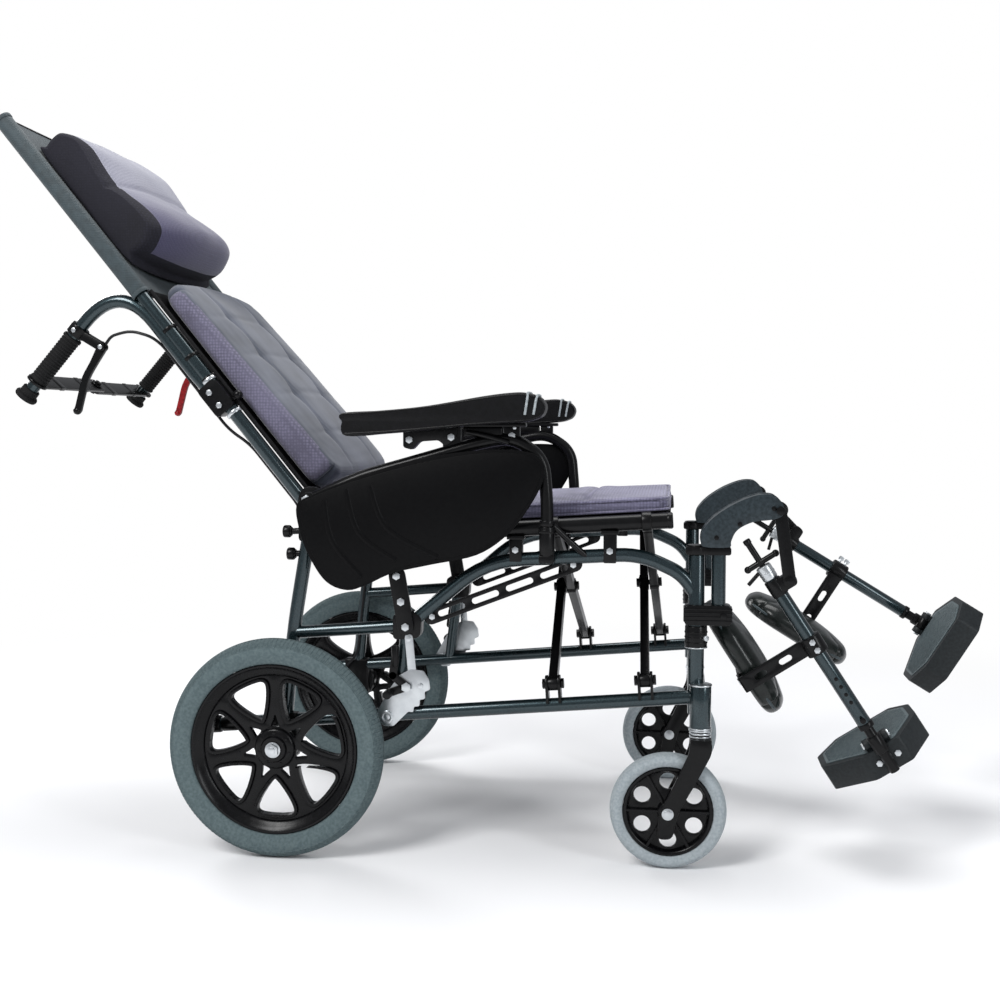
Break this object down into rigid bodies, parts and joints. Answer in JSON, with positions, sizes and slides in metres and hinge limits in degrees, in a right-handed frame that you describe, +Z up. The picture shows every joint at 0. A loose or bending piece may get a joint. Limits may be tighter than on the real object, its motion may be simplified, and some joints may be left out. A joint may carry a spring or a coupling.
{
  "type": "reclining wheelchair",
  "caption": "Folding attendant wheelchair with a reclining back, padded head support, flip-up arms and swing-away elevating legrests.",
  "frame": {"origin": "floor level, at the middle of the chair's length and width", "axes": "+X forward, from the push handles to the footplates; +Y towards the sitter's left; +Z up"},
  "size_m": [1.6542, 0.6206, 1.1985],
  "materials": {
    "frame_coat": "dark coated, satin",
    "black_metal": "black coated, satin",
    "silver_metal": "plated",
    "rear_tyre": "matt",
    "caster_tyre": "matt",
    "rim_plastic": "gloss",
    "seat_mesh": "ribbed mesh",
    "back_fabric": "soft woven",
    "slate_fabric": "woven",
    "black_vinyl": "soft grained",
    "knee_plastic": "satin",
    "calf_vinyl": "glossy",
    "plate_plastic": "matt",
    "grip_rubber": "ribbed",
    "lever_red": "satin",
    "cable_black": "satin"
  },
  "bodies": {
    "right_frame": {"right_side_frame": "frame_coat", "right_wheel_lock_plate": "silver_metal"},
    "left_frame": {"left_side_frame": "frame_coat", "left_wheel_lock_plate": "silver_metal"},
    "brace_a": {"rear_brace_arm_a": "black_metal", "front_brace_arm_a": "black_metal"},
    "brace_b": {"rear_brace_arm_b": "black_metal", "front_brace_arm_b": "black_metal"},
    "right_seat_side": {"right_seat_rail": "black_metal", "seat_base": "black_vinyl", "seat_cushion": "seat_mesh"},
    "left_seat_side": {"left_seat_rail": "black_metal"},
    "right_wheel": {"right_rear_tyre": "rear_tyre", "right_rear_rim": "rim_plastic"},
    "right_caster": {"right_caster_fork": "black_metal"},
    "right_caster_wheel": {"right_caster_tyre": "caster_tyre", "right_caster_hub": "rim_plastic"},
    "right_arm": {"right_arm_frame": "black_metal", "right_arm_pad": "black_vinyl", "right_side_guard": "black_vinyl"},
    "right_back": {"right_back_cane": "frame_coat", "right_push_grip": "grip_rubber", "right_brake_cable": "cable_black", "back_panel": "black_vinyl", "back_cushion": "back_fabric", "head_panel": "slate_fabric", "head_cushion": "seat_mesh"},
    "right_handle_bar": {"right_handle_spreader": "black_metal"},
    "right_brake_lever": {"right_brake_lever": "lever_red"},
    "right_legrest": {"right_leg_hanger": "frame_coat", "right_knee_panel": "knee_plastic"},
    "right_leg": {"right_leg_tube": "frame_coat"},
    "right_leg_release": {"right_leg_release": "silver_metal"},
    "right_calf_rest": {"right_calf_bracket": "black_metal", "right_calf_pad": "calf_vinyl"},
    "right_foot_stem": {"right_foot_stem": "black_metal"},
    "right_footplate": {"right_footplate": "plate_plastic"},
    "right_wheel_lock": {"right_wheel_lock_lever": "black_metal"},
    "left_wheel": {"left_rear_tyre": "rear_tyre", "left_rear_rim": "rim_plastic"},
    "left_caster": {"left_caster_fork": "black_metal"},
    "left_caster_wheel": {"left_caster_tyre": "caster_tyre", "left_caster_hub": "rim_plastic"},
    "left_arm": {"left_arm_frame": "black_metal", "left_arm_pad": "black_vinyl", "left_side_guard": "black_vinyl"},
    "left_back": {"left_back_cane": "frame_coat", "left_push_grip": "grip_rubber", "left_brake_cable": "cable_black"},
    "left_handle_bar": {"left_handle_spreader": "black_metal"},
    "left_brake_lever": {"left_brake_lever": "lever_red"},
    "left_legrest": {"left_leg_hanger": "frame_coat", "left_knee_panel": "knee_plastic"},
    "left_leg": {"left_leg_tube": "frame_coat"},
    "left_leg_release": {"left_leg_release": "silver_metal"},
    "left_calf_rest": {"left_calf_bracket": "black_metal", "left_calf_pad": "calf_vinyl"},
    "left_foot_stem": {"left_foot_stem": "black_metal"},
    "left_footplate": {"left_footplate": "plate_plastic"},
    "left_wheel_lock": {"left_wheel_lock_lever": "black_metal"}
  },
  "joints": [
    {"name": "fold", "type": "hinge", "parent": "right_frame", "child": "brace_a", "pos_m": [0.17493, -0.24, 0.2855], "axis": [0.9979, 0, 0.0645], "range_deg": [0, 38], "deforming": ["seat_base", "seat_cushion", "back_panel", "back_cushion", "head_panel", "head_cushion"]},
    {"name": "brace_cross", "type": "hinge", "parent": "brace_a", "child": "brace_b", "pos_m": [0.16696, 0, 0.40874], "axis": [0.9979, 0, 0.0645], "range_deg": [-76, 0]},
    {"name": "left_frame_fold", "type": "hinge", "parent": "brace_b", "child": "left_frame", "pos_m": [0.17493, 0.24, 0.2855], "axis": [0.9979, 0, 0.0645], "range_deg": [0, 38]},
    {"name": "right_seat_fold", "type": "hinge", "parent": "brace_b", "child": "right_seat_side", "pos_m": [0.15899, -0.24, 0.53199], "axis": [0.9979, 0, 0.0645], "range_deg": [0, 38]},
    {"name": "left_seat_fold", "type": "hinge", "parent": "brace_a", "child": "left_seat_side", "pos_m": [0.15899, 0.24, 0.53199], "axis": [0.9979, 0, 0.0645], "range_deg": [-38, 0]},
    {"name": "right_wheel_spin", "type": "hinge", "parent": "right_frame", "child": "right_wheel", "pos_m": [-0.33807, -0.285, 0.175], "axis": [0, 1, 0], "continuous": true},
    {"name": "right_caster_swivel", "type": "hinge", "parent": "right_frame", "child": "right_caster", "pos_m": [0.32843, -0.252, 0.2], "axis": [0, 0, 1], "continuous": true},
    {"name": "right_caster_spin", "type": "hinge", "parent": "right_caster", "child": "right_caster_wheel", "pos_m": [0.27993, -0.252, 0.09], "axis": [0, 1, 0], "continuous": true},
    {"name": "right_arm_flip", "type": "hinge", "parent": "right_frame", "child": "right_arm", "pos_m": [-0.28607, -0.266, 0.568], "axis": [0, -1, 0], "range_deg": [0, 100]},
    {"name": "recline", "type": "hinge", "parent": "right_frame", "child": "right_back", "pos_m": [-0.29007, -0.215, 0.54], "axis": [0, 1, 0], "range_deg": [-31, 31], "deforming": ["right_brake_cable"]},
    {"name": "right_handle_bar_fold", "type": "hinge", "parent": "right_back", "child": "right_handle_bar", "pos_m": [-0.76879, -0.215, 0.75338], "axis": [0.659, 0, 0.7522], "range_deg": [-66.5, 0]},
    {"name": "right_brake_squeeze", "type": "hinge", "parent": "right_back", "child": "right_brake_lever", "pos_m": [-0.65012, -0.215, 0.81461], "axis": [0, 1, 0], "range_deg": [0, 14], "stiffness_Nm_per_rad": 1.5, "springref_deg": -11.46},
    {"name": "right_legrest_swing", "type": "hinge", "parent": "right_frame", "child": "right_legrest", "pos_m": [0.32093, -0.24, 0.4], "axis": [0, 0, -1], "range_deg": [0, 90]},
    {"name": "right_leg_raise", "type": "hinge", "parent": "right_legrest", "child": "right_leg", "pos_m": [0.44493, -0.24, 0.558], "axis": [0, -1, 0], "range_deg": [-7, 56]},
    {"name": "right_leg_release_pull", "type": "slide", "parent": "right_leg", "child": "right_leg_release", "axis": [-0.5461, 0, 0.8377], "range_m": [0, 0.006], "stiffness_N_per_m": 600},
    {"name": "right_calf_swing", "type": "hinge", "parent": "right_leg", "child": "right_calf_rest", "pos_m": [0.49752, -0.24, 0.35354], "axis": [-0.5461, 0, 0.8377], "range_deg": [-75, 0]},
    {"name": "right_foot_length", "type": "slide", "parent": "right_leg", "child": "right_foot_stem", "axis": [0.5461, 0, -0.8377], "range_m": [0, 0.06]},
    {"name": "right_footplate_fold", "type": "hinge", "parent": "right_foot_stem", "child": "right_footplate", "pos_m": [0.59604, -0.218, 0.20242], "axis": [0.8377, 0, 0.5461], "range_deg": [0, 65]},
    {"name": "right_wheel_lock_turn", "type": "hinge", "parent": "right_frame", "child": "right_wheel_lock", "pos_m": [-0.13207, -0.24, 0.272], "axis": [0, 1, 0], "range_deg": [-22, 22]},
    {"name": "left_wheel_spin", "type": "hinge", "parent": "left_frame", "child": "left_wheel", "pos_m": [-0.33807, 0.285, 0.175], "axis": [0, 1, 0], "continuous": true},
    {"name": "left_caster_swivel", "type": "hinge", "parent": "left_frame", "child": "left_caster", "pos_m": [0.32843, 0.252, 0.2], "axis": [0, 0, 1], "continuous": true},
    {"name": "left_caster_spin", "type": "hinge", "parent": "left_caster", "child": "left_caster_wheel", "pos_m": [0.27993, 0.252, 0.09], "axis": [0, 1, 0], "continuous": true},
    {"name": "left_arm_flip", "type": "hinge", "parent": "left_frame", "child": "left_arm", "pos_m": [-0.28607, 0.266, 0.568], "axis": [0, -1, 0], "range_deg": [0, 100]},
    {"name": "left_recline", "type": "hinge", "parent": "left_frame", "child": "left_back", "pos_m": [-0.29007, 0.215, 0.54], "axis": [0, 1, 0], "range_deg": [-31, 31], "deforming": ["left_brake_cable"]},
    {"name": "left_handle_bar_fold", "type": "hinge", "parent": "left_back", "child": "left_handle_bar", "pos_m": [-0.76879, 0.215, 0.75338], "axis": [0.659, 0, 0.7522], "range_deg": [0, 66.5]},
    {"name": "left_brake_squeeze", "type": "hinge", "parent": "left_back", "child": "left_brake_lever", "pos_m": [-0.65012, 0.215, 0.81461], "axis": [0, 1, 0], "range_deg": [0, 14], "stiffness_Nm_per_rad": 1.5, "springref_deg": -11.46},
    {"name": "left_legrest_swing", "type": "hinge", "parent": "left_frame", "child": "left_legrest", "pos_m": [0.32093, 0.24, 0.4], "axis": [0, 0, 1], "range_deg": [0, 90]},
    {"name": "left_leg_raise", "type": "hinge", "parent": "left_legrest", "child": "left_leg", "pos_m": [0.44493, 0.24, 0.558], "axis": [0, -1, 0], "range_deg": [-32, 31]},
    {"name": "left_leg_release_pull", "type": "slide", "parent": "left_leg", "child": "left_leg_release", "axis": [-0.8526, 0, 0.5225], "range_m": [0, 0.006], "stiffness_N_per_m": 600},
    {"name": "left_calf_swing", "type": "hinge", "parent": "left_leg", "child": "left_calf_rest", "pos_m": [0.59007, 0.24, 0.41206], "axis": [0.8526, 0, -0.5225], "range_deg": [0, 90]},
    {"name": "left_foot_length", "type": "slide", "parent": "left_leg", "child": "left_foot_stem", "axis": [0.8526, 0, -0.5225], "range_m": [0, 0.06]},
    {"name": "left_footplate_fold", "type": "hinge", "parent": "left_foot_stem", "child": "left_footplate", "pos_m": [0.74388, 0.218, 0.3178], "axis": [-0.5225, 0, -0.8526], "range_deg": [0, 90]},
    {"name": "left_wheel_lock_turn", "type": "hinge", "parent": "left_frame", "child": "left_wheel_lock", "pos_m": [-0.13207, 0.24, 0.272], "axis": [0, 1, 0], "range_deg": [-22, 22]}
  ],
  "couplings": [
    {"joint": "brace_cross", "follows": "fold", "ratio": -2},
    {"joint": "left_frame_fold", "follows": "fold", "ratio": 1},
    {"joint": "right_seat_fold", "follows": "fold", "ratio": 1},
    {"joint": "left_seat_fold", "follows": "fold", "ratio": -1},
    {"joint": "right_handle_bar_fold", "follows": "fold", "ratio": -1.73},
    {"joint": "left_handle_bar_fold", "follows": "fold", "ratio": 1.73},
    {"joint": "left_recline", "follows": "recline", "ratio": 1}
  ]
}
